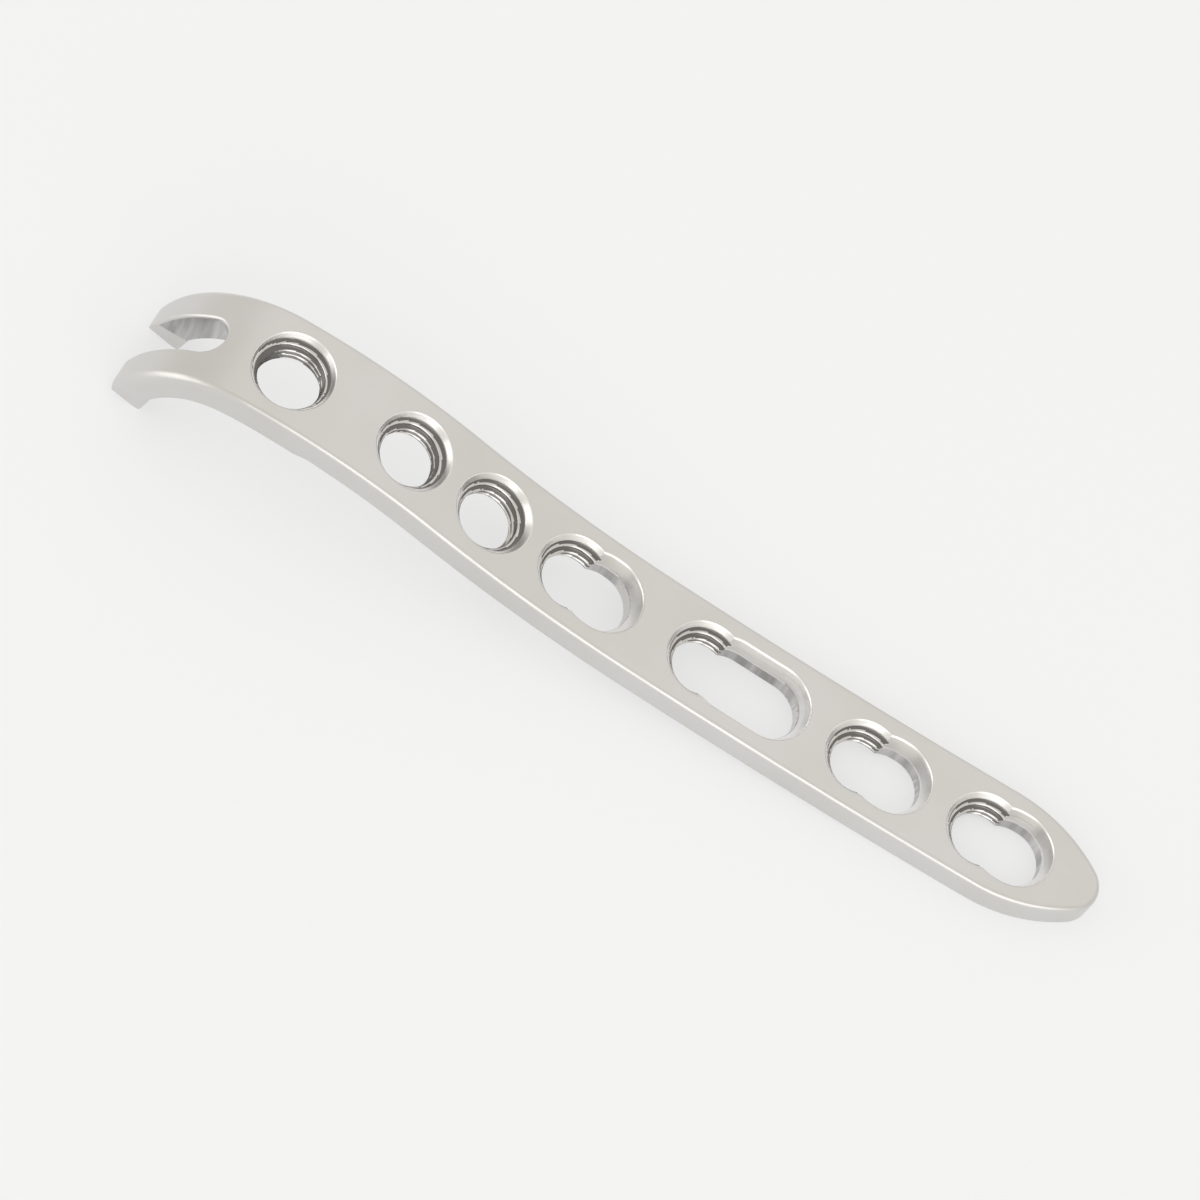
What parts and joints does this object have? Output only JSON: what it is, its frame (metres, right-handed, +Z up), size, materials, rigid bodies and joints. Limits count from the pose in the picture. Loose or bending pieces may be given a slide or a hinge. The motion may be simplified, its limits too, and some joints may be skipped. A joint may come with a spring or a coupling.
{
  "type": "orthopedic bone plate",
  "caption": "Curved steel bone plate with a threaded and slotted hole row down its shaft and a hooked end split into two toothed prongs that grip the tip of a bone",
  "frame": {"origin": "on the resting surface, under the middle of the plate's length and width", "axes": "+X along the plate from the hooks to the rounded tip of the shaft, +Y across it, +Z up, away from the bone"},
  "size_m": [0.1016, 0.0112, 0.011],
  "materials": {
    "hook_plate": "satin"
  },
  "bodies": {
    "root": {"hook_plate": "hook_plate"}
  },
  "joints": []
}
